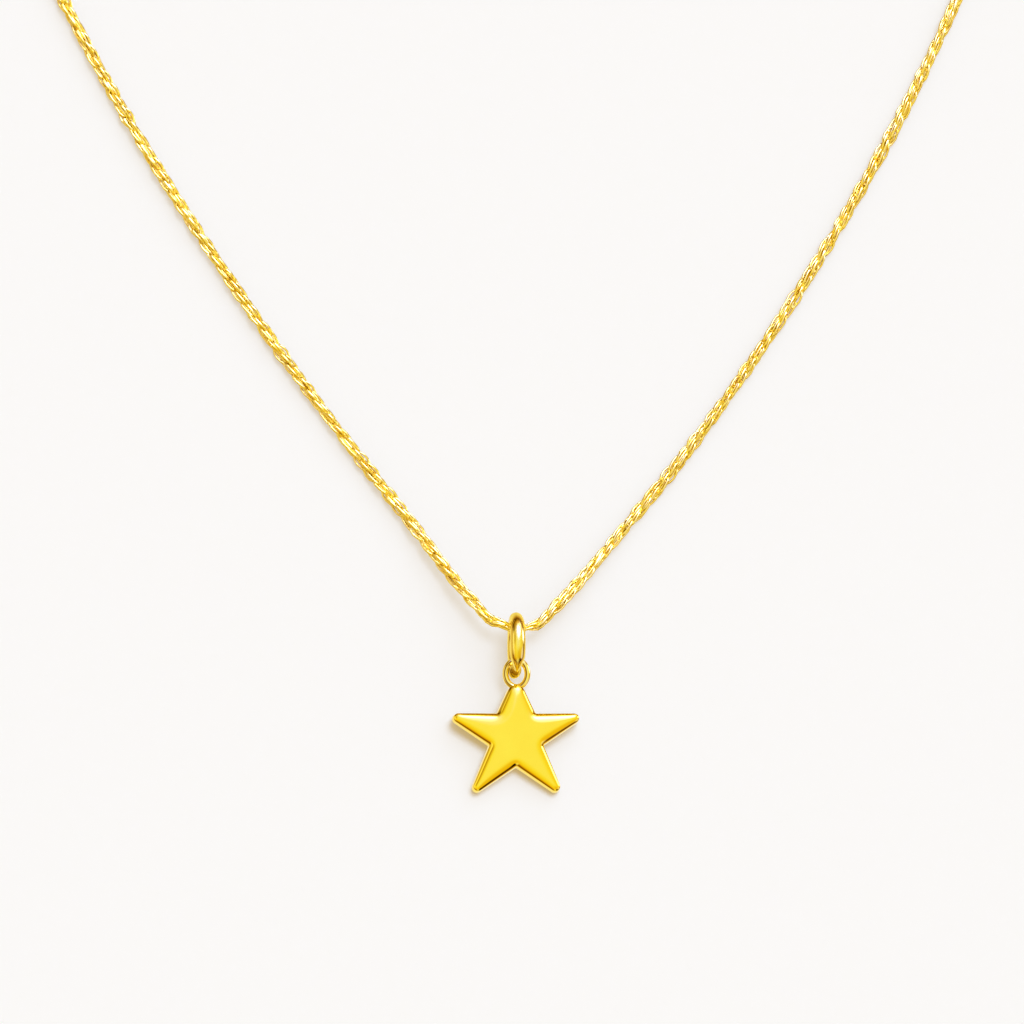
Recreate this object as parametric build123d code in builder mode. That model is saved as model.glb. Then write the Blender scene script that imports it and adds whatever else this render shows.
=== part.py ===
from build123d import *
import os
from math import asin, atan2, cos, degrees, pi, radians, sin, sqrt, tan

# Star pendant on a fine chain, lying on a table.
# Millimetres. X runs across, Y from the pendant to the clasp, Z up from the table.

# Star plate, in its own plane, with X across and Y towards the loop
star_reach = 6.4        # centre to the tip of an arm, measured to the sharp corner
notch_reach = 2.4       # centre to a notch between two arms, to the sharp corner
star_wall = 1.1         # flat back to the edge of the face
star_flare = 0.055      # how far the wall stands out at the back, past the edge of the face
crown_height = 0.36     # edge of the face to the middle of the face
crown_width = 0.95      # the face curves over this width and is level inside it
tip_radius = 0.43       # round of the four free tips
top_radius = 0.8        # round of the tip that carries the loop
notch_radius = 0.14     # round of the notches
star_tilt = 8.0         # degrees, the loop's end is lifted by the ring it hangs on

# Loop soldered to the top tip, a little longer than wide
loop_wire = 0.5
loop_play = 0.09        # inside the loop, round the bail ring's wire
loop_sides = 0.4        # straight sides between the loop's round ends
loop_sink = 0.4         # how far the loop runs into the tip

# Bail ring, a plain round jump ring that stands on its edge
bail_diameter = 5.28
bail_wire = 1.10

# Chain
chain_diameter = 1.0

# Clasp, a closed ring with a small eye, and the ring at the chain's other end
clasp_diameter = 5.0
clasp_wire = 1.0
eye_diameter = 2.2
eye_wire = 0.5
eye_sink = 0.3          # how far the eye runs into the clasp's ring
knob_diameter = 0.7
knob_length = 0.8       # how far the knob stands out from the clasp's ring
knob_angle = 60.0       # degrees from X, round the clasp's ring
end_ring_wire = 0.55
end_ring_play = 1.0     # inside the end ring, round the clasp's wire

# Clearances and places
seat_gap = 0.02         # between pieces that rest on each other
link_gap = 0.15         # from an end of the chain to the ring that its last link holds
bail_y = -79.8          # the bail ring's centre
clasp_x = 0.0
clasp_run = 167.2       # the chain's seat in the bail ring to the clasp, along Y

# Corners of the star's outline, from the top tip down its right side
# Columns: direction in degrees, share of the reach, kind of corner
star_corners = [
    (90.0, 0.815, "top"),
    (49.5, 1.01, "notch"),
    (17.0, 1.00, "tip"),
    (-19.0, 0.98, "notch"),
    (-52.3, 1.04, "tip"),
    (-90.0, 1.05, "notch"),
]

# Levels of the face, from its edge to its middle
# Columns: share of the crown's width, share of its height
crown_levels = [
    (0.15, 0.40),
    (0.38, 0.72),
    (0.66, 0.92),
    (1.00, 1.00),
]

# Route of the chain, from the clasp's eye, through the bail ring, to the end ring
# Columns: X and Y from the chain's seat in the bail ring, share of the seat's height
chain_route = [
    (-13.6, 166.3, 0.0),
    (-26.7, 160.5, 0.0),
    (-38.3, 149.0, 0.0),
    (-46.7, 133.6, 0.0),
    (-50.4, 114.9, 0.0),
    (-49.5, 94.2, 0.0),
    (-45.1, 74.7, 0.0),
    (-38.6, 58.2, 0.0),
    (-31.1, 43.4, 0.0),
    (-21.8, 28.3, 0.0),
    (-13.4, 16.4, 0.0),
    (-8.1, 9.5, 0.06),
    (-4.6, 4.3, 0.6),
    (-2.3, 1.45, 0.95),
    (-0.75, 0.0, 1.0),
    (0.75, 0.0, 1.0),
    (2.4, 1.4, 0.95),
    (4.9, 4.2, 0.6),
    (9.1, 9.2, 0.06),
    (14.8, 16.1, 0.0),
    (23.5, 28.5, 0.0),
    (32.5, 43.6, 0.0),
    (39.6, 58.4, 0.0),
    (45.9, 75.1, 0.0),
    (50.0, 94.6, 0.0),
    (50.5, 115.2, 0.0),
    (46.6, 133.8, 0.0),
    (38.3, 149.2, 0.0),
    (26.8, 160.6, 0.0),
    (13.8, 166.3, 0.0),
]


def star_point(direction, share, kind):
    """Sharp corner of the star's outline at the back."""
    reach = share * (notch_reach if kind == "notch" else star_reach)
    return Vector(reach * cos(radians(direction)), reach * sin(radians(direction)))


def star_outline(inset):
    """Sharp corners of the outline, with every side moved in by inset."""
    right = [star_point(*row) for row in star_corners]
    left = [Vector(-point.X, point.Y) for point in right[-2:0:-1]]
    corners = right + left
    moved = []
    for before, corner, after in zip(corners[-1:] + corners[:-1], corners, corners[1:] + corners[:1]):
        arriving = (corner - before).normalized()
        leaving = (after - corner).normalized()
        inward = Vector(arriving.Y, -arriving.X) + Vector(leaving.Y, -leaving.X)
        moved.append(corner + inward * (inset / (1 + arriving.dot(leaving))))
    return moved


def star_radii(inset):
    """Round of each corner: a tip's shrinks as the sides move in, and a notch's grows."""
    right = []
    for direction, share, kind in star_corners:
        if kind == "notch":
            right.append(notch_radius + inset)
        else:
            full = top_radius if kind == "top" else tip_radius
            right.append(full * tip_radius / (tip_radius + inset))
    return right + right[-2:0:-1]


os.makedirs("parts", exist_ok=True)

# The bail ring stands on the table in the plane of Y and Z
bail_middle = (bail_diameter - bail_wire) / 2
bail_height = bail_diameter / 2
with BuildPart() as bail_ring:
    with Locations(Plane(origin=(0, bail_y, bail_height), z_dir=(1, 0, 0))):
        Torus(bail_middle, bail_wire / 2)

# The star rests on its two lower tips, and its loop hangs on the bail ring's wire
top_tip = star_point(*star_corners[0])
top_notch = star_point(*star_corners[1])
half_top = atan2(top_notch.X, top_tip.Y - top_notch.Y)
top_end = top_tip.Y - top_radius * (1 / sin(half_top) - 1)
loop_middle = (bail_wire + loop_wire) / 2 + loop_play
loop_foot_y = top_end - loop_sink + loop_middle + loop_wire / 2
loop_y = loop_foot_y + loop_sides
loop_level = star_wall / 2

lower_notch = star_point(*star_corners[3])
lower_tip = star_point(*star_corners[4])
foot_notch = star_point(*star_corners[5])
tip_sides = (lower_notch - lower_tip).normalized() + (foot_notch - lower_tip).normalized()
half_tip = radians((lower_notch - lower_tip).get_angle(foot_notch - lower_tip)) / 2
tip_centre = lower_tip + tip_sides.normalized() * (tip_radius / sin(half_tip))
foot_y = tip_centre.Y - tip_radius

tilt = radians(star_tilt)
loop_z = (loop_y - foot_y) * sin(tilt) + loop_level * cos(tilt)
far_wire_drop = bail_height - loop_z - loop_middle * sin(tilt)
hang_reach = bail_middle - (bail_wire + loop_wire) / 2 - seat_gap
far_wire_y = bail_y - sqrt(hang_reach**2 - far_wire_drop**2)
loop_place_y = far_wire_y - loop_middle * cos(tilt)
star_origin = (
    0,
    loop_place_y - loop_y * cos(tilt) + loop_level * sin(tilt),
    -foot_y * sin(tilt),
)
star_plane = Plane(origin=star_origin, x_dir=(1, 0, 0), z_dir=(0, -sin(tilt), cos(tilt)))

levels = [(0.0, 0.0), (star_flare, star_wall)]
for width_share, height_share in crown_levels:
    levels.append((star_flare + width_share * crown_width, star_wall + height_share * crown_height))

with BuildPart() as star_pendant:
    for inset, height in levels:
        with BuildSketch(star_plane.offset(height)):
            with BuildLine():
                FilletPolyline(*star_outline(inset), radius=star_radii(inset), close=True)
            make_face()
    loft(ruled=True)
    with BuildLine(star_plane.offset(loop_level)) as loop_line:
        Line((loop_middle, loop_foot_y), (loop_middle, loop_y))
        CenterArc((0, loop_y), loop_middle, 0, 180)
        Line((-loop_middle, loop_y), (-loop_middle, loop_foot_y))
        CenterArc((0, loop_foot_y), loop_middle, 180, 180)
    loop_wire_line = loop_line.wire()
    with BuildSketch(Plane(origin=loop_wire_line @ 0, z_dir=loop_wire_line % 0)):
        Circle(loop_wire / 2)
    sweep(path=loop_wire_line)

# The chain's route rises from the table to its seat inside the bail ring
chain_radius = chain_diameter / 2
seat_y = bail_y + bail_middle - bail_wire / 2 - seat_gap - chain_radius

# The clasp leans on the end ring, and its eye lies on the table
clasp_middle = (clasp_diameter - clasp_wire) / 2
eye_middle = (eye_diameter - eye_wire) / 2
eye_x = -(clasp_diameter / 2 + eye_diameter / 2 - eye_sink)
eye_reach = eye_middle - eye_x
wire_on_ring = end_ring_wire + seat_gap + clasp_wire / 2
clasp_lean = asin((wire_on_ring - eye_wire / 2) / (eye_reach + clasp_middle))
clasp_y = seat_y + clasp_run
clasp_z = eye_wire / 2 + eye_reach * sin(clasp_lean)
clasp_plane = Plane(
    origin=(clasp_x, clasp_y, clasp_z),
    x_dir=(cos(clasp_lean), 0, sin(clasp_lean)),
    z_dir=(-sin(clasp_lean), 0, cos(clasp_lean)),
)
with BuildPart() as clasp:
    with Locations(clasp_plane):
        Torus(clasp_middle, clasp_wire / 2)
        with Locations((eye_x, 0)):
            Torus(eye_middle, eye_wire / 2)
        with PolarLocations(clasp_middle, 1, knob_angle):
            Cylinder(
                knob_diameter / 2,
                clasp_wire / 2 + knob_length,
                rotation=(0, 90, 0),
                align=(Align.CENTER, Align.CENTER, Align.MIN),
            )

end_ring_middle = (clasp_wire + end_ring_play + end_ring_wire) / 2
end_ring_height = end_ring_middle + end_ring_wire / 2
end_ring_x = clasp_x + clasp_middle * cos(clasp_lean)
with BuildPart() as end_ring:
    with Locations(Plane(origin=(end_ring_x, clasp_y, end_ring_height), z_dir=(0, 1, 0))):
        Torus(end_ring_middle, end_ring_wire / 2)

# Chain, a soft tube of the links' outer size
left_end = clasp_x - (eye_reach + eye_wire / 2) * cos(clasp_lean) - link_gap
right_end = end_ring_x + end_ring_height + link_gap
route = [Vector(left_end, clasp_y, chain_radius)]
for x, y, lift in chain_route:
    route.append(Vector(x, seat_y + y, chain_radius + lift * (bail_height - chain_radius)))
route.append(Vector(right_end, clasp_y, chain_radius))

bends = []
for before, corner, after in zip(route, route[1:], route[2:]):
    turn = radians((corner - before).get_angle(after - corner))
    shorter = min((corner - before).length, (after - corner).length)
    bends.append(0.45 * shorter / tan(turn / 2))

with BuildPart() as chain:
    with BuildLine() as chain_line:
        FilletPolyline(*route, radius=bends)
    with BuildSketch(Plane(origin=route[0], z_dir=route[1] - route[0])):
        Circle(chain_radius)
    sweep()

chain_length = chain_line.wire().length
print("bend radii", [round(bend, 1) for bend in bends])
print("chain length", round(chain_length, 2))
print("volume by section", round(pi * chain_radius**2 * chain_length, 3), "swept", round(chain.part.volume, 3))
print("clasp leans", round(degrees(clasp_lean), 2), "degrees")

star_pendant.part.label = "star_pendant"
bail_ring.part.label = "bail_ring"
chain.part.label = "chain"
clasp.part.label = "clasp"
end_ring.part.label = "end_ring"

export_step(star_pendant.part, "parts/star_pendant.step")
export_step(bail_ring.part, "parts/bail_ring.step")
export_step(chain.part, "parts/chain.step")
export_step(clasp.part, "parts/clasp.step")
export_step(end_ring.part, "parts/end_ring.step")
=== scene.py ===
import bmesh
import bpy
import numpy as np
from mathutils import Matrix, Vector


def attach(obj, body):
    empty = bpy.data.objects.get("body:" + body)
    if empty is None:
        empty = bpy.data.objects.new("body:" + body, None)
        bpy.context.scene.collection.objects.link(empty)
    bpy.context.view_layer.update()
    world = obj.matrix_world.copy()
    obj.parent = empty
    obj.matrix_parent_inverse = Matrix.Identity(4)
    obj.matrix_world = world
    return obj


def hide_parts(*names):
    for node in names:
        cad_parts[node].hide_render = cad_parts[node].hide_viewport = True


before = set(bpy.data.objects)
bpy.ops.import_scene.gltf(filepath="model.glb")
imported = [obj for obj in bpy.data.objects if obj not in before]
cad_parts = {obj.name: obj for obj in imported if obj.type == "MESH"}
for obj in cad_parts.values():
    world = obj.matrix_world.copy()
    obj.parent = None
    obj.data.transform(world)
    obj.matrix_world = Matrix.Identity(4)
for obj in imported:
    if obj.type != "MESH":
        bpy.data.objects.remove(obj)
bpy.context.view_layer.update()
scene = bpy.context.scene
scene.view_settings.view_transform = "Standard"
mm = 0.001
print("frame loaded")


def unit(vectors):
    # Vectors over their own length.
    return vectors / np.linalg.norm(vectors, axis=-1)[..., None]


def onceRound(count):
    # Even steps of one full turn, in radians.
    return np.arange(count) * 2 * np.pi / count


def smoothShare(value, low, high):
    # From 0 at low to 1 at high along the cubic 3 t^2 - 2 t^3.
    t = np.clip((value - low) / (high - low), 0, 1)
    return t * t * (3 - 2 * t)


def makeMesh(name, points, faces, material, node):
    # A piece from points in millimetres and faces as arrays of their corners. Every face is turned outward.
    mesh = bpy.data.meshes.new(name)
    loops = np.concatenate([group.ravel() for group in faces]).astype(np.int32)
    totals = np.concatenate([np.full(len(group), group.shape[1]) for group in faces]).astype(np.int32)
    starts = np.concatenate([[0], np.cumsum(totals)[:-1]]).astype(np.int32)
    mesh.vertices.add(len(points))
    mesh.vertices.foreach_set("co", (np.asarray(points, float) * mm).astype(np.float32).ravel())
    mesh.loops.add(len(loops))
    mesh.loops.foreach_set("vertex_index", loops)
    mesh.polygons.add(len(totals))
    mesh.polygons.foreach_set("loop_start", starts)
    mesh.polygons.foreach_set("use_smooth", np.full(len(totals), True))
    mesh.update(calc_edges=True)
    mesh.validate()
    shape = bmesh.new()
    shape.from_mesh(mesh)
    bmesh.ops.recalc_face_normals(shape, faces=shape.faces)
    shape.to_mesh(mesh)
    shape.free()
    mesh.materials.append(material)
    piece = bpy.data.objects.new(name, mesh)
    scene.collection.objects.link(piece)
    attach(piece, "root")
    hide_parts(node)
    return piece


def gridFaces(rows, columns, closeRows=False, start=0):
    # Four-cornered faces between neighbouring rows of points. Rows are closed round, and all of them if asked.
    a = np.arange(rows if closeRows else rows - 1)[:, None]
    b = np.arange(columns)[None]
    a2, b2 = (a + 1) % rows, (b + 1) % columns
    corners = [a * columns + b, a * columns + b2, a2 * columns + b2, a2 * columns + b]
    return start + np.stack(corners, -1).reshape(-1, 4)


def tubeAround(path, wire, sides, closed=True):
    # A round wire along a path in one plane: each section is square to the path. The wire is one radius, or
    # one for each point of the path, and an open wire's ends are closed by a fan.
    ahead = unit(np.roll(path, -1, 0) - np.roll(path, 1, 0) if closed else np.gradient(path, axis=0))
    plane = np.linalg.svd(path - path.mean(0))[2][2]
    side = unit(np.cross(ahead, plane))
    other = np.cross(side, ahead)
    turn = onceRound(sides)
    ring = np.cos(turn)[None, :, None] * side[:, None] + np.sin(turn)[None, :, None] * other[:, None]
    radii = np.broadcast_to(np.asarray(wire, float), len(path))[:, None, None]
    points = (path[:, None] + radii * ring).reshape(-1, 3)
    faces = gridFaces(len(path), sides, closeRows=closed)
    if closed:
        return points, [faces]
    around, end = np.arange(sides), (len(path) - 1) * sides
    first = np.stack([(around + 1) % sides, around, np.full(sides, len(points))], 1)
    last = np.stack([end + around, end + (around + 1) % sides, np.full(sides, len(points) + 1)], 1)
    return np.vstack([points, path[:1], path[-1:]]), [faces, first, last]


def addNode(tree, kind, feeds=None, **settings):
    # A node with its settings. Each input named in feeds gets a plain value or another node's output.
    node = tree.nodes.new(kind)
    for name, value in settings.items():
        setattr(node, name, value)
    for socket, value in (feeds or {}).items():
        if isinstance(value, bpy.types.NodeSocket):
            tree.links.new(value, node.inputs[socket])
        else:
            node.inputs[socket].default_value = value
    return node


def addMath(tree, kind, *values):
    # One step of arithmetic on plain numbers or other nodes' outputs.
    return addNode(tree, "ShaderNodeMath", dict(enumerate(values)), operation=kind).outputs["Value"]


def addVector(tree, kind, *values):
    # The same on vectors. The length comes out as a value, all else as a vector.
    return addNode(tree, "ShaderNodeVectorMath", dict(enumerate(values)), operation=kind)


def addRange(tree, value, before, after=(0.0, 1.0), way="LINEAR"):
    # The value's place between two numbers, carried to its place between two others and kept between them.
    feeds = {"Value": value, "From Min": before[0], "From Max": before[1],
             "To Min": after[0], "To Max": after[1]}
    return addNode(tree, "ShaderNodeMapRange", feeds, interpolation_type=way).outputs["Result"]


def addNoise(tree, place, scale, detail):
    # A cloudy pattern with so many spots on a metre.
    feeds = {"Vector": place, "Scale": scale, "Detail": detail}
    return addNode(tree, "ShaderNodeTexNoise", feeds).outputs["Fac"]


def addRamp(tree, value, stops):
    # Colours at their places along a ramp from 0 to 1.
    node = addNode(tree, "ShaderNodeValToRGB", {"Fac": value})
    elements = node.color_ramp.elements
    while len(elements) < len(stops):
        elements.new(0.5)
    for element, (place, tone) in zip(elements, stops):
        element.position, element.color = place, (*tone, 1)
    return node.outputs["Color"]


mixSockets = {"first": 6, "second": 7, "result": 2}  # the colour sockets of a mix node


def mixColours(tree, share, first, second):
    # The first colour where the share is 0, the second where it is 1.
    feeds = {"Factor": share, mixSockets["first"]: first, mixSockets["second"]: second}
    return addNode(tree, "ShaderNodeMix", feeds, data_type="RGBA").outputs[mixSockets["result"]]


# Light and deep tone, roughness from and to, how many spots of tone lie on a metre
golds = {
    "starGold": {"light": (1.0, 0.81, 0.09), "deep": (1.0, 0.78, 0.08), "roughness": (0.05, 0.09),
                 "spots": 500},
    "loopGold": {"light": (1.0, 0.90, 0.42), "deep": (1.0, 0.84, 0.28), "roughness": (0.04, 0.08),
                 "spots": 700},
    "ringGold": {"light": (1.0, 0.85, 0.26), "deep": (0.97, 0.80, 0.19), "roughness": (0.14, 0.22),
                 "spots": 700},
    "chainGold": {"light": (1.0, 0.87, 0.34), "deep": (1.0, 0.77, 0.15), "roughness": (0.07, 0.16),
                  "spots": 1500},
}
plating = {"edgeTint": (1.0, 0.88, 0.45, 1), "toneDetail": 2.0, "toneRange": (0.3, 0.7), "cloudsPerSpot": 6,
           "cloudDetail": 4.0, "cloudRange": (0.35, 0.65), "dentDepth": 0.000002}


def makeGold(name):
    # Polished plate: a slow drift between two golds, faint clouds in the polish and soft dents in the metal.
    gold = golds[name]
    material = bpy.data.materials.new(name)
    material.use_nodes = True
    tree = material.node_tree
    shader = tree.nodes["Principled BSDF"]
    shader.inputs["Metallic"].default_value = 1.0
    shader.inputs["Specular Tint"].default_value = plating["edgeTint"]
    place = addNode(tree, "ShaderNodeTexCoord").outputs["Object"]
    drift = addNoise(tree, place, gold["spots"], plating["toneDetail"])
    cloud = addNoise(tree, place, gold["spots"] * plating["cloudsPerSpot"], plating["cloudDetail"])
    colour = addRamp(tree, drift, list(zip(plating["toneRange"], (gold["deep"], gold["light"]))))
    tree.links.new(colour, shader.inputs["Base Color"])
    rough = addRange(tree, cloud, plating["cloudRange"], gold["roughness"])
    tree.links.new(rough, shader.inputs["Roughness"])
    feeds = {"Strength": 1.0, "Distance": plating["dentDepth"], "Height": drift}
    dents = addNode(tree, "ShaderNodeBump", feeds).outputs["Normal"]
    tree.links.new(dents, shader.inputs["Normal"])
    return material


def paintOver(material, share, tone):
    # The tone over the plate's own colour, by its share.
    tree = material.node_tree
    base = tree.nodes["Principled BSDF"].inputs["Base Color"]
    tree.links.new(mixColours(tree, share, base.links[0].from_socket, (*tone, 1)), base)


starGold, loopGold, ringGold, chainGold = [makeGold(name) for name in golds]
# Painted reflection: darker olive streaks over the ring's gold.
paintedReflectionStreaks = {"tone": (0.60, 0.48, 0.09), "scale": (1900, 260, 260), "shift": (0.3, 0, 0), "detail": 1.5,
           "range": (0.5, 0.66), "share": 0.45}


def addPaintedReflectionStreaks(material):
    # Darker streaks painted along the ring's wire as a painted reflection, from a noise that is long in Y and
    # Z and short in X.
    tree = material.node_tree
    place = addNode(tree, "ShaderNodeTexCoord").outputs["Object"]
    feeds = {"Vector": place, "Location": paintedReflectionStreaks["shift"], "Scale": paintedReflectionStreaks["scale"]}
    stretched = addNode(tree, "ShaderNodeMapping", feeds).outputs["Vector"]
    noise = addNoise(tree, stretched, 1.0, paintedReflectionStreaks["detail"])
    paintOver(material, addRange(tree, noise, paintedReflectionStreaks["range"], (0.0, paintedReflectionStreaks["share"])), paintedReflectionStreaks["tone"])


addPaintedReflectionStreaks(ringGold)
# Painted reflection: a dark line painted round the star's loop.
paintedDarkLine = {"tone": (0.22, 0.07, 0.002), "x": -0.03, "y": -82.05, "reachX": 0.885, "reachY": 1.075, "width": 0.1,
        "share": 1.0}


def addPaintedDarkLine(material):
    # A darker line painted along an ellipse seen from above: a painted dark reflection on the loop's wire, not
    # a seam.
    # Its share falls from the line's middle to its rim as a smoothstep of the distance | length((place -
    # centre) / reach) - 1 |.
    tree = material.node_tree
    place = addNode(tree, "ShaderNodeTexCoord").outputs["Object"]
    offset = addVector(tree, "SUBTRACT", place, [mm * paintedDarkLine["x"], mm * paintedDarkLine["y"], 0]).outputs["Vector"]
    perReach = [1 / (mm * paintedDarkLine["reachX"]), 1 / (mm * paintedDarkLine["reachY"]), 0]
    shares = addVector(tree, "MULTIPLY", offset, perReach).outputs["Vector"]
    length = addVector(tree, "LENGTH", shares).outputs["Value"]
    distance = addMath(tree, "ABSOLUTE", addMath(tree, "SUBTRACT", length, 1.0))
    share = addRange(tree, distance, (0.0, paintedDarkLine["width"]), (paintedDarkLine["share"], 0.0), "SMOOTHSTEP")
    paintOver(material, share, paintedDarkLine["tone"])


addPaintedDarkLine(loopGold)
for cadName, cadMaterial in (("star_pendant", starGold), ("bail_ring", ringGold), ("clasp", ringGold),
                             ("end_ring", ringGold), ("chain", chainGold)):
    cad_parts[cadName].data.materials.clear()
    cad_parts[cadName].data.materials.append(cadMaterial)
print("golds made")

star = {
    "reach": 6.4, "notchReach": 2.4, "wall": 1.1, "flare": 0.055, "crown": 0.36, "crownWidth": 0.95,
    "tipRound": 0.43, "topRound": 0.8, "notchRound": 0.14, "tilt": np.radians(8),
    "origin": np.array([0, -86.93407, 0.6326]), "fullness": 3.4, "dome": 0.1, "domeReach": 5.0, "domeRise": 3,
    "arcPoints": 9, "sidePoints": 14, "faceRings": 34, "innermost": 0.1,
    # Inset and height round the back's edge, heights up the wall, insets over the face's edge
    "backEdge": [(0.5, 0), (0.09, 0), (0.05, 0.0), (0.015, 0.012), (0.002, 0.045)],
    "wallHeights": (0.1, 0.4, 0.7, 0.9, 1.0, 1.06),
    "faceEdge": (0.012, 0.03, 0.05, 0.075, 0.1, 0.13, 0.16, 0.2, 0.24, 0.28, 0.33),
}
# Direction in degrees, share of the reach, kind of corner, from the top tip down the right side
starCorners = [(90, 0.815, "top"), (49.5, 1.01, "notch"), (17, 1, "tip"), (-19, 0.98, "notch"),
               (-52.3, 1.04, "tip"), (-90, 1.05, "notch")]


def starOutline(inset):
    # Sharp corners, each moved in by the inset along both of its sides, then rounded by an arc that touches
    # both. The points run the other way round from the corners' list, with the star's inside on their left.
    right = []
    for direction, share, kind in starCorners:
        reach = share * star["notchReach" if kind == "notch" else "reach"]
        if kind == "notch":
            radius = star["notchRound"] + inset
        else:
            full = star["topRound" if kind == "top" else "tipRound"]
            radius = full * star["tipRound"] / (star["tipRound"] + inset)
        right.append((reach * np.cos(np.radians(direction)), reach * np.sin(np.radians(direction)), radius))
    corners = np.array(right + [(-x, y, r) for x, y, r in right[-2:0:-1]])[::-1]
    points, radii = corners[:, :2], corners[:, 2]
    ahead = unit(np.roll(points, -1, 0) - points)
    behind = np.roll(ahead, 1, 0)
    inward = np.stack([-ahead[:, 1] - behind[:, 1], ahead[:, 0] + behind[:, 0]], 1)
    points = points + inward * (inset / (1 + (ahead * behind).sum(1)))[:, None]
    turn = np.arctan2(behind[:, 0] * ahead[:, 1] - behind[:, 1] * ahead[:, 0], (ahead * behind).sum(1))
    cut = radii * np.tan(abs(turn) / 2)
    first, last = points - behind * cut[:, None], points + ahead * cut[:, None]
    inner = np.stack([-behind[:, 1], behind[:, 0]], 1) * np.sign(turn)[:, None]
    middle = first + inner * radii[:, None]
    step = np.linspace(0, 1, star["arcPoints"])[None, :] * turn[:, None]
    spoke = first - middle
    arcs = np.stack([np.cos(step) * spoke[:, :1] - np.sin(step) * spoke[:, 1:],
                     np.sin(step) * spoke[:, :1] + np.cos(step) * spoke[:, 1:]], -1) + middle[:, None]
    share = (np.arange(1, star["sidePoints"] + 1) / (star["sidePoints"] + 1))[None, :, None]
    sides = last[:, None] * (1 - share) + np.roll(first, -1, 0)[:, None] * share
    return np.concatenate([arcs, sides], 1).reshape(-1, 2)


def smoothDepth(points, edge):
    # How far points lie inside an edge, without the ridge that the nearest distance has. Beside a long
    # straight edge the sum of 1 / r^3 along it is 2 / depth^2, and each segment's share has a closed form.
    start, end = edge, np.roll(edge, -1, 0)
    length = np.linalg.norm(end - start, axis=1)
    along = unit(end - start)
    offset = points[:, None] - start[None]
    s = (offset * along).sum(-1)
    d2 = np.maximum((offset**2).sum(-1) - s**2, 1e-7)
    rest = length - s
    total = ((rest / np.sqrt(d2 + rest**2) + s / np.sqrt(d2 + s**2)) / d2).sum(1)
    return np.sqrt(2 / total)


def starWorld(points):
    # From the star's own plane into the row frame, turned up by the tilt about X.
    tilt = star["tilt"]
    return star["origin"] + np.stack([
        points[:, 0],
        points[:, 1] * np.cos(tilt) - points[:, 2] * np.sin(tilt),
        points[:, 1] * np.sin(tilt) + points[:, 2] * np.cos(tilt),
    ], 1)


def makeStar():
    # Rings of the outline: a small round at the back's edge, the leaning wall, a soft arris, then the crowned
    # face. The face's height rises with depth as 1 - exp(-fullness * depth / width), which is steep at its
    # edge, and a low dome, 1 - (distance from the middle / its reach)^2, lies over it.
    slope = star["flare"] / star["wall"]
    arris = starOutline(star["flare"])
    count = len(arris)
    rings = star["backEdge"] + [(slope * height, height) for height in star["wallHeights"]]
    points = [np.column_stack([starOutline(inset), np.full(count, height)]) for inset, height in rings]
    face = [starOutline(star["flare"] + inset) for inset in star["faceEdge"]]
    face += [face[-1] * share for share in np.linspace(1, star["innermost"], star["faceRings"])[1:]]
    face.append(np.array([[0.0, 0.0]]))
    for ring in face:
        depth = smoothDepth(ring, arris)
        rise = star["crown"] * (1 - np.exp(-star["fullness"] * depth / star["crownWidth"]))
        far = (ring**2).sum(1) / star["domeReach"] ** 2
        dome = star["dome"] * (1 - far) * (1 - np.exp(-star["domeRise"] * depth))
        points.append(np.column_stack([ring, star["wall"] + rise + dome]))
    rows = len(points) - 1
    points = np.concatenate(points[:-1] + [[[0, 0, 0]], points[-1]])
    around, last = np.arange(count), (rows - 1) * count
    below = np.stack([around, (around + 1) % count, np.full(count, rows * count)], 1)
    above = np.stack([last + (around + 1) % count, last + around, np.full(count, rows * count + 1)], 1)
    faces = [gridFaces(rows, count)[:, ::-1], below, above]  # counted back, quads split the other way
    return makeMesh("starPlate", starWorld(points), faces, starGold, "star_pendant")


starPlate = makeStar()
print("star made", len(starPlate.data.polygons))

loop = {"x": 0.06, "middle": 0.885, "stretch": 0.2, "centre": 5.0645, "wire": 0.25, "level": 0.55,
        "steps": 120, "sides": 64}


def makeLoop():
    # A round wire along an ellipse in the star's plane, a little longer than it is wide.
    turn, angle = onceRound(loop["steps"])[:, None], onceRound(loop["sides"])[None]
    a, b = loop["middle"], loop["middle"] + loop["stretch"]
    long = np.sqrt((b * np.cos(turn)) ** 2 + (a * np.sin(turn)) ** 2)
    out = loop["wire"] * np.cos(angle) / long
    x = loop["x"] + a * np.cos(turn) + out * b * np.cos(turn)
    y = loop["centre"] + b * np.sin(turn) + out * a * np.sin(turn)
    z = loop["level"] + loop["wire"] * np.sin(angle) + 0 * turn
    points = np.stack([x, y, z], -1).reshape(-1, 3)
    faces = [gridFaces(loop["steps"], loop["sides"], closeRows=True)[:, ::-1]]  # as the star's
    makeMesh("starLoop", starWorld(points), faces, loopGold, "star_pendant")


makeLoop()

# The ring that the star hangs on. Its turn is in degrees from its cut: where each stretch of points begins
# and ends and how many it has, and where each change of its shape begins and ends.
bail = {
    "y": -79.8, "middle": 2.09, "wire": 0.55, "height": 2.64, "sides": 40,
    "stretches": [(11.5, 60, 49), (62.5, 280, 88), (282, 366, 61)],
    "roundFrom": 11.4, "roundTo": 361, "round": 5,
    "swell": 0.07, "swells": (15, 70), "settles": (125, 165), "wedge": 0.42, "thickens": (8, 52),
    "thinning": 0.13, "thins": (275, 335), "slack": 0.09, "slackens": (300, 350), "upperOut": 0.16,
    "closesIn": (5, 45), "lowerLeft": 0.1, "movesLeft": (285, 362), "cutLean": 1.1, "leans": (330, 361),
    "leanAlong": [0.6, 0.8],
}


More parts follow.
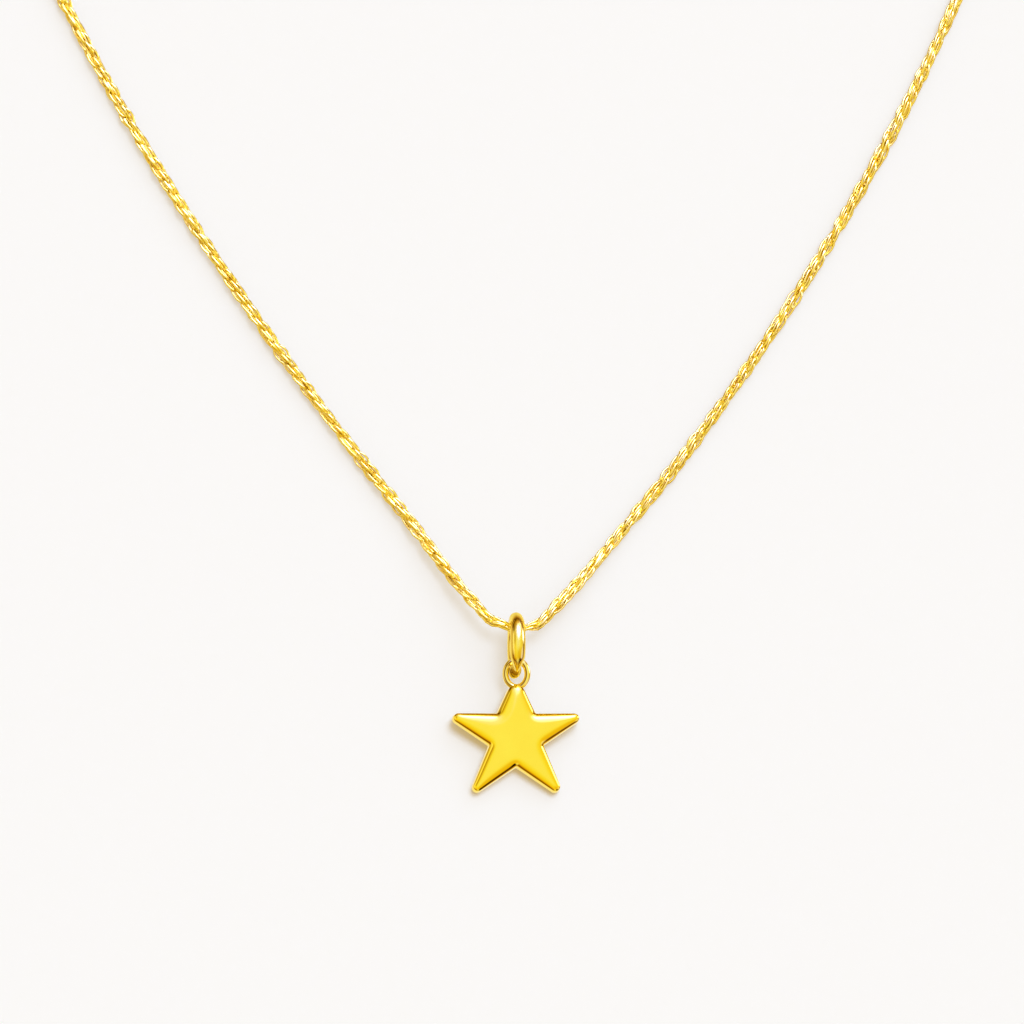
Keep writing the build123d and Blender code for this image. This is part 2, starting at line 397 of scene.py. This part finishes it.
def makeBail():
    # A jump ring, bent from wire, cut where the star hangs. From the cut its turn climbs over the top and
    # comes back from below. Its wire swells a little over the top, the upper end is pinched to a wedge and
    # stands out a little, and the lower end, a little thinner and more to the left, is cut on a slant: its
    # height grows with x and y.
    turn = np.radians(np.concatenate([np.linspace(*stretch) for stretch in bail["stretches"]]))
    degrees = np.degrees(turn)
    swell = bail["swell"] * smoothShare(degrees, *bail["swells"])
    swell *= 1 - smoothShare(degrees, *bail["settles"])
    wire = bail["wire"] + swell
    wire *= bail["wedge"] + (1 - bail["wedge"]) * smoothShare(degrees, *bail["thickens"])
    wire *= np.sqrt(1 - (1 - np.clip((degrees - bail["roundFrom"]) / bail["round"], 0, 1)) ** 2)
    wire *= 1 - bail["thinning"] * smoothShare(degrees, *bail["thins"])
    wire *= np.sqrt(1.0001 - np.clip((degrees - bail["roundTo"]) / bail["round"], 0, 1) ** 2)
    reach = bail["middle"] - swell + bail["slack"] * smoothShare(degrees, *bail["slackens"])
    reach += bail["upperOut"] * (1 - smoothShare(degrees, *bail["closesIn"]))
    x = -bail["lowerLeft"] * smoothShare(degrees, *bail["movesLeft"])
    path = np.column_stack([x, bail["y"] - reach * np.cos(turn), bail["height"] + reach * np.sin(turn)])
    points, faces = tubeAround(path, wire, bail["sides"], closed=False)
    lean = bail["cutLean"] * np.repeat(smoothShare(degrees, *bail["leans"]), bail["sides"])
    fromPath = points[:-2, :2] - path[:, :2].repeat(bail["sides"], 0)
    points[:-2, 2] += lean * (fromPath @ bail["leanAlong"])
    makeMesh("bailRing", points, faces, ringGold, "bail_ring")


makeBail()

clasp = {
    "x": 0, "y": 88.42, "z": 0.80333, "lean": 0.133732, "middle": 2.0, "wire": 0.5, "steps": 110, "sides": 36,
    "eyeX": -3.3, "eyeMiddle": 0.85, "eyeWire": 0.25, "eyeSteps": 64, "eyeSides": 24,
    # The knob's direction, and distance from the clasp's centre and radius from its foot to its end
    "knobAngle": np.radians(60), "knobSides": 24,
    "knobProfile": [(2.0, 0.315), (2.55, 0.315), (2.62, 0.28), (2.69, 0.315), (2.76, 0.35), (3.08, 0.35),
                    (3.2, 0.315), (3.27, 0.238), (3.3, 0.1225), (3.3, 0.01)],
}


def flatCircle(count, radius, x=0.0):
    # A closed path round a circle in the plane of X and Y.
    turn = onceRound(count)
    return np.column_stack([radius * np.cos(turn) + x, radius * np.sin(turn), 0 * turn])


def claspWorld(points):
    # The clasp leans about Y, with its right side up.
    lean = clasp["lean"]
    return np.array([clasp["x"], clasp["y"], clasp["z"]]) + np.stack([
        points[:, 0] * np.cos(lean) - points[:, 2] * np.sin(lean),
        points[:, 1],
        points[:, 0] * np.sin(lean) + points[:, 2] * np.cos(lean),
    ], 1)


def makeClasp():
    # A ring, its eye, and a knob: a turned profile with a rounded end, square to the ring's wire.
    ringPath = flatCircle(clasp["steps"], clasp["middle"])
    ringPoints, ringFaces = tubeAround(ringPath, clasp["wire"], clasp["sides"])
    eyePath = flatCircle(clasp["eyeSteps"], clasp["eyeMiddle"], clasp["eyeX"])
    eyePoints, eyeFaces = tubeAround(eyePath, clasp["eyeWire"], clasp["eyeSides"])
    out = np.array([np.cos(clasp["knobAngle"]), np.sin(clasp["knobAngle"]), 0])
    across = np.array([-out[1], out[0], 0])
    sides, rows = clasp["knobSides"], len(clasp["knobProfile"])
    turn = onceRound(sides)
    ring = np.cos(turn)[:, None] * across + np.sin(turn)[:, None] * np.array([0, 0, 1.0])
    knobPoints = np.concatenate([out * reach + ring * radius for reach, radius in clasp["knobProfile"]])
    knobStart = len(ringPoints) + len(eyePoints)
    knobEnds = knobStart + np.stack([np.arange(sides), np.arange(sides) + sides * (rows - 1)])
    points = np.concatenate([ringPoints, eyePoints, knobPoints])
    faces = ringFaces + [eyeFaces[0] + len(ringPoints), gridFaces(rows, sides, start=knobStart), knobEnds]
    makeMesh("springClasp", claspWorld(points), faces, ringGold, "clasp")


makeClasp()
endRing = {"x": 1.98214, "y": 88.42, "height": 1.55, "middle": 1.275, "wire": 0.275, "steps": 90, "sides": 28}


def makeEndRing():
    # A round wire along a circle that stands upright, square to Y.
    across, up, level = flatCircle(endRing["steps"], endRing["middle"]).T
    path = np.column_stack([endRing["x"] + across, endRing["y"] + level, endRing["height"] + up])
    points, faces = tubeAround(path, endRing["wire"], endRing["sides"])
    makeMesh("endRing", points, faces, ringGold, "end_ring")


makeEndRing()
print("rings made")

# Sizes in millimetres, turns in radians. The turn goes on from link to link, the twist from mm to mm.
chain = {
    "seatY": -78.78, "seatHeight": 2.64, "radius": 0.63,
    "leftEnd": -4.5107, "rightEnd": 3.6821, "endY": 88.42,
    "wire": 0.1, "wide": 0.122, "middle": 0.44, "length": 1.8, "inner": 0.5, "bluntness": 0.65,
    "pitch": 0.265, "firstLink": -0.02, "lastLink": 0.09,
    "firstTurn": np.radians(90), "turn": np.radians(33), "twist": 0.35,
    "wobble": 0.3, "wobbleWaves": [(2.4, 0), (0.57, 1)], "wobbleEnds": 0.25, "sway": 0.09, "swayRate": 1.9,
    "flat": 0.1, "flatRun": 1.7, "narrowing": [(0.5, 1.2), (0.24, 3.4)], "flatFrom": 0.99,
    "sides": 5, "steps": 12,
}
routeDetail = {"resolution": 40, "sameSpot": 1e-6, "spare": 3, "glance": 0.15}
# X and Y from the seat in the bail ring, share of the seat's height, from the clasp's eye to the end ring
chainRoute = [
    (-13.6, 166.2, 0), (-26.7, 160.5, 0), (-38.3, 149.0, 0), (-46.7, 133.6, 0), (-50.25, 114.9, 0),
    (-49.35, 94.2, 0), (-45.1, 74.7, 0), (-38.6, 58.2, 0), (-31.1, 43.4, 0), (-21.8, 28.3, 0),
    (-13.4, 16.4, 0), (-8.1, 9.5, 0.06), (-4.7, 4.3, 0.6), (-3.2, 2.45, 0.87), (-2.1, 0.98, 0.95),
    (-1.1, 0.8, 1), (0, -0.02, 1), (0.95, 0.55, 1), (1.8, 0.55, 0.96), (3.3, 2.25, 0.86), (5.0, 4.1, 0.6),
    (9.1, 9.2, 0.06), (14.8, 16.1, 0), (23.5, 28.5, 0), (32.5, 43.6, 0), (39.6, 58.4, 0), (45.9, 75.1, 0),
    (49.85, 94.6, 0), (50.35, 115.2, 0), (46.6, 133.8, 0), (38.3, 149.2, 0), (26.8, 160.6, 0),
    (13.8, 166.2, 0),
]


def routePoints():
    # The route's own NURBS spline, read from Blender as a line of points.
    low, lift = chain["radius"], chain["seatHeight"] - chain["radius"]
    places = [(chain["leftEnd"], chain["endY"], low)]
    places += [(x, chain["seatY"] + y, low + share * lift) for x, y, share in chainRoute]
    places += [(chain["rightEnd"], chain["endY"], low)]
    curve = bpy.data.curves.new("chainRoute", "CURVE")
    curve.dimensions = "3D"
    spline = curve.splines.new("NURBS")
    spline.points.add(len(places) - 1)
    weighted = np.column_stack([places, np.ones(len(places))]).astype(np.float32)
    spline.points.foreach_set("co", weighted.ravel())
    spline.order_u = 3
    spline.use_endpoint_u = True
    spline.resolution_u = routeDetail["resolution"]
    holder = bpy.data.objects.new("chainRoute", curve)
    mesh = bpy.data.meshes.new_from_object(holder)
    points = np.zeros(len(mesh.vertices) * 3, np.float32)
    mesh.vertices.foreach_get("co", points)
    bpy.data.meshes.remove(mesh)
    bpy.data.objects.remove(holder)
    bpy.data.curves.remove(curve)
    return points.reshape(-1, 3).astype(float)


def routeLine():
    # The route's points with the distance run to each, and a straight spare stretch before and after them.
    line = routePoints()
    gaps = np.linalg.norm(np.diff(line, axis=0), axis=1)
    apart = gaps > routeDetail["sameSpot"]
    line, run = line[np.concatenate([[True], apart])], np.concatenate([[0], np.cumsum(gaps[apart])])
    spare, total = routeDetail["spare"], run[-1]
    before = line[0] - (line[1] - line[0]) / run[1] * spare
    after = line[-1] + (line[-1] - line[-2]) / (total - run[-2]) * spare
    return np.vstack([before, line, after]), np.concatenate([[-spare], run, [total + spare]]), total


def makeChain():
    # Each link is an oval whose long way lies along the route: its points lie at half the length times a
    # cosine along the link, and at its middle size times a blunted sine from the route's line. The direction
    # of that distance turns on from link to link, with a small wobble. The links together are a little flat,
    # except near the seat in the bail ring, and the flat side winds slowly along the route. Every second link
    # is small and lies inside the large ones. Near the seat all are narrower, by shares that fall as
    # exp(-(distance / reach)^2).
    line, run, total = routeLine()
    first, last = chain["firstLink"], total + chain["lastLink"]
    count = int(round((last - first) / chain["pitch"])) + 1
    pitch = (last - first) / (count - 1)
    number = np.arange(count)
    turns = chain["firstTurn"] + (chain["turn"] + chain["twist"] * pitch) * number
    waves = sum(np.sin(rate * number + shift) for rate, shift in chain["wobbleWaves"])
    turns += chain["wobble"] * waves * np.sin(np.pi * number / (count - 1)) ** chain["wobbleEnds"]
    turns -= (turns[-1] / np.pi) % 1 * np.pi * number / (count - 1)  # the last link lies flat
    around = onceRound(chain["steps"])
    a = chain["length"] / 2 * np.cos(around)
    q = np.sign(np.sin(around)) * np.abs(np.sin(around)) ** chain["bluntness"]
    size = chain["middle"] * (1 + chain["sway"] * np.sin(chain["swayRate"] * number))
    size = np.where(number % 2 == 0, size, size * chain["inner"])[:, None]
    s = (first + pitch * number)[:, None] + a[None]
    azimuth = turns[:, None] + chain["twist"] * a[None]
    fromSeat = s - run[np.argmin(line[:, 1])]
    narrow = np.ones_like(s)
    for share, reach in chain["narrowing"]:
        narrow -= share * np.exp(-((fromSeat / reach) ** 2))

    def alongRoute(distance):
        return np.stack([np.interp(distance, run, line[:, k]) for k in range(3)], -1)

    ahead = unit(alongRoute(s + routeDetail["glance"]) - alongRoute(s - routeDetail["glance"]))
    side = unit(np.cross(ahead, [0, 0, 1.0]))
    up = np.cross(side, ahead)
    winding = 1 + chain["flat"] * np.cos(2 * (azimuth - chain["flatRun"] * s)) * (narrow > chain["flatFrom"])
    out = (q[None] * size * narrow * winding)[..., None]
    cosine, sine = np.cos(azimuth)[..., None], np.sin(azimuth)[..., None]
    path = alongRoute(s) + out * (cosine * side + sine * up)
    tangent = unit(np.roll(path, -1, 1) - np.roll(path, 1, 1))
    outward = unit(np.cross(tangent, -sine * side + cosine * up))
    normal = np.cross(outward, tangent)
    turn = onceRound(chain["sides"])[:, None]
    ring = chain["wire"] * np.cos(turn) * outward[:, :, None]
    ring = ring + chain["wide"] * np.sin(turn) * normal[:, :, None]
    points = path[:, :, None] + ring
    linkFaces = gridFaces(chain["steps"], chain["sides"], closeRows=True)
    perLink = chain["steps"] * chain["sides"]
    for name, links in zip(("chainLeft", "chainRight"), np.array_split(number, 2)):
        faces = (linkFaces[None] + perLink * np.arange(len(links))[:, None, None]).reshape(-1, 4)
        makeMesh(name, points[links].reshape(-1, 3), [faces], chainGold, "chain")
    print("links", count, "pitch", round(pitch, 4), "route", round(total, 2))


makeChain()

# Straight above the pendant, 15 degrees towards the viewer and 4.5 to the left, with the bail ring's centre
# at its place in the photograph.
cameraPlace = {"left": 4.5, "down": 15.0, "roll": -0.9, "distance": 520.0, "pixelsPerMm": 12.4,
               "picture": 1024, "ringPixel": (516.0, 645.0), "sensor": 36, "clip": (0.01, 20)}


def makeCamera():
    # The axis runs down and away from the viewer. Right and up are square to it and turned by the roll.
    left, down = np.radians(cameraPlace["left"]), np.radians(cameraPlace["down"])
    axis = unit(np.array([np.tan(left), np.tan(down), -1.0]))
    right = unit(np.cross(axis, [0, 1, 0]))
    up = np.cross(right, axis)
    roll = np.radians(cameraPlace["roll"])
    right, up = np.cos(roll) * right + np.sin(roll) * up, np.cos(roll) * up - np.sin(roll) * right
    middle, perMm = cameraPlace["picture"] / 2, cameraPlace["pixelsPerMm"]
    ringX, ringY = cameraPlace["ringPixel"]
    target = np.array([0, bail["y"], bail["height"]]) + (middle - ringX) / perMm * right
    target += (ringY - middle) / perMm * up
    data = bpy.data.cameras.new("mainCamera")
    data.sensor_width = cameraPlace["sensor"]
    data.lens = cameraPlace["sensor"] * cameraPlace["distance"] / (cameraPlace["picture"] / perMm)
    data.clip_start, data.clip_end = cameraPlace["clip"]
    camera = bpy.data.objects.new("mainCamera", data)
    scene.collection.objects.link(camera)
    turn = Matrix((right, up, -axis)).transposed().to_4x4()
    camera.matrix_world = Matrix.Translation(Vector((target - cameraPlace["distance"] * axis) * mm)) @ turn
    scene.camera = camera


makeCamera()
print("camera made")

paper = {"half": 3, "level": -2e-6, "roughness": 0.9, "gloss": 0.1, "glow": (0.38, 0.28, 0.12, 1),
         "grain": 900, "grainDetail": 2.0, "tones": [(0, (0.795, 0.79, 0.785)), (1, (0.81, 0.805, 0.80))]}


def makeFloor():
    # A sheet of white paper on a light table, which softens the shadows with a faint warm glow of its own.
    mesh = bpy.data.meshes.new("floor")
    signs = ((-1, -1), (1, -1), (1, 1), (-1, 1))
    corners = [(x * paper["half"], y * paper["half"], paper["level"]) for x, y in signs]
    mesh.from_pydata(corners, [], [(0, 1, 2, 3)])
    material = bpy.data.materials.new("floorWhite")
    material.use_nodes = True
    tree = material.node_tree
    shader = tree.nodes["Principled BSDF"]
    shader.inputs["Roughness"].default_value = paper["roughness"]
    shader.inputs["Specular IOR Level"].default_value = paper["gloss"]
    shader.inputs["Emission Color"].default_value = paper["glow"]
    shader.inputs["Emission Strength"].default_value = 1.0
    place = addNode(tree, "ShaderNodeTexCoord").outputs["Object"]
    grain = addNoise(tree, place, paper["grain"], paper["grainDetail"])
    tree.links.new(addRamp(tree, grain, paper["tones"]), shader.inputs["Base Color"])
    mesh.materials.append(material)
    floor = bpy.data.objects.new("floor", mesh)
    scene.collection.objects.link(floor)
    floor.visible_glossy = False


makeFloor()

# Elevation in degrees, colour
tentTones = [
    (-90, (1.0, 1.0, 1.1)), (-40, (0.97, 0.90, 0.75)), (-24, (0.84, 0.60, 0.22)), (-14, (0.50, 0.24, 0.02)),
    (-7, (0.14, 0.04, 0.003)), (1, (0.22, 0.075, 0.004)), (8, (0.58, 0.30, 0.012)), (18, (0.80, 0.50, 0.02)),
    (28, (0.93, 0.72, 0.06)), (47, (0.965, 0.84, 0.13)), (63, (0.98, 0.93, 0.34)), (74, (0.99, 0.98, 0.68)),
    (90, (1.0, 0.99, 0.74)),
]
# Azimuth from X and elevation in degrees, half its width and half its height in degrees, rim, colour, share
tentOvals = [
    (5, 22, 30, 20, 0.5, (0.97, 0.84, 0.3), 0.6),
    (-62, 40, 34, 20, 0.5, (0.84, 0.52, 0.01), 0.6),
    (178, 18, 36, 10, 0.4, (1.2, 1.14, 0.85), 0.9),
    (168, 46, 26, 11, 0.5, (0.60, 0.38, 0.06), 0.6),
    (116, 28, 12, 22, 0.4, (0.24, 0.09, 0.01), 0.45),
    (118, -2, 24, 9, 0.4, (0.06, 0.018, 0.002), 0.9),
    (82, 56, 38, 24, 0.8, (1.05, 1.13, 3.8), 0.95),
    (68, 62, 24, 14, 0.6, (2.0, 2.1, 6.5), 0.8),
    (73, 46, 24, 16, 0.4, (8, 8, 12), 1.0),
    (58, 20, 16, 13, 0.4, (1.8, 1.8, 2.6), 0.7),
    (19, 5, 12, 11, 0.4, (5, 5, 8), 0.85),
    (-28, 12, 18, 14, 0.4, (1.0, 0.95, 1.6), 0.8),
    (-62, 3, 13.5, 19, 0.3, (0.02, 0.005, 0.0), 1.0),
    (172, -2, 26, 12, 0.4, (0.95, 0.78, 0.36), 0.75),
    (158, 37, 22, 5, 0.5, (0.38, 0.17, 0.01), 0.8),
    (138, 14, 12, 13, 0.4, (0.12, 0.05, 0.004), 0.8),
    (-90, 8, 15, 18, 0.5, (1.0, 0.90, 0.50), 0.85),
]
evenTone, backdrop = (0.27, 0.21, 0.13, 1), (0.95, 0.945, 0.94, 1)


def makeWorld():
    # What polished metal sees is a pale tent above and a pale table below, both warm and then dark towards
    # the table's edge, with ovals of light and shade. An oval is measured in azimuth and elevation and has
    # the soft rim of a smoothstep. What lights the floor is an even tone, and the camera sees a plain pale
    # backdrop.
    world = bpy.data.worlds.new("tent")
    scene.world = world
    world.use_nodes = True
    tree = world.node_tree

    def times(first, second):
        return addMath(tree, "MULTIPLY", first, second)

    direction = addNode(tree, "ShaderNodeTexCoord").outputs["Generated"]
    x, y, z = addNode(tree, "ShaderNodeSeparateXYZ", {0: direction}).outputs
    elevation = addMath(tree, "ARCSINE", z)
    flat = addMath(tree, "SQRT", addMath(tree, "SUBTRACT", 1.000001, times(z, z)))  # never quite 0
    level = addRange(tree, elevation, (-np.pi / 2, np.pi / 2))
    total = addRamp(tree, level, [(height / 180 + 0.5, tone) for height, tone in tentTones])
    for azimuth, height, wide, high, rim, tone, share in tentOvals:
        a = np.radians(azimuth)
        toward = addMath(tree, "ADD", times(x, np.cos(a)), times(y, np.sin(a)))
        bearing = addMath(tree, "ARCCOSINE", addMath(tree, "DIVIDE", toward, flat))
        away = addMath(tree, "DIVIDE", bearing, np.radians(wide))
        above = addMath(tree, "SUBTRACT", elevation, np.radians(height))
        above = addMath(tree, "DIVIDE", above, np.radians(high))
        squares = addMath(tree, "ADD", times(away, away), times(above, above))
        oval = addRange(tree, addMath(tree, "SQRT", squares), (1 + rim, 1 - rim), (0.0, share), "SMOOTHSTEP")
        total = mixColours(tree, oval, total, (*tone, 1))
    ray = addNode(tree, "ShaderNodeLightPath").outputs
    mirrored = times(ray["Is Glossy Ray"], addMath(tree, "LESS_THAN", ray["Diffuse Depth"], 0.5))
    total = mixColours(tree, mirrored, evenTone, total)
    total = mixColours(tree, ray["Is Camera Ray"], total, backdrop)
    tree.links.new(total, tree.nodes["Background"].inputs["Color"])


makeWorld()
sunTone = (0.513, 0.702, 1.0)
# Azimuth from X, elevation and width in degrees. The last one has only the star as what blocks it.
suns = {
    "mainSun": {"azimuth": 48, "elevation": 77, "width": 24, "strength": 0.85},
    "softSun": {"azimuth": 60, "elevation": 50, "width": 40, "strength": 0.2},
    "wideSun": {"azimuth": 48, "elevation": 55, "width": 80, "strength": 0.75},
    "starSun": {"azimuth": 48, "elevation": 77, "width": 24, "strength": 1.25, "blockers": [starPlate]},
}


def makeSun(name, azimuth, elevation, width, strength, blockers=()):
    # A soft sun that only casts the shadows, of everything or of the pieces named as its blockers. The metal
    # sees the tent's ovals instead.
    data = bpy.data.lights.new(name, "SUN")
    data.angle, data.energy, data.color = np.radians(width), strength, sunTone
    sun = bpy.data.objects.new(name, data)
    a, e = np.radians(azimuth), np.radians(elevation)
    toward = Vector((np.cos(a) * np.cos(e), np.sin(a) * np.cos(e), np.sin(e)))
    sun.rotation_euler = toward.to_track_quat("Z", "Y").to_euler()
    sun.location = toward
    sun.visible_glossy = False
    scene.collection.objects.link(sun)
    if blockers:
        sun.light_linking.blocker_collection = bpy.data.collections.new(name + "Blockers")
        for piece in blockers:
            sun.light_linking.blocker_collection.objects.link(piece)


for sunName, sunLook in suns.items():
    makeSun(sunName, **sunLook)
print("floor and light made")
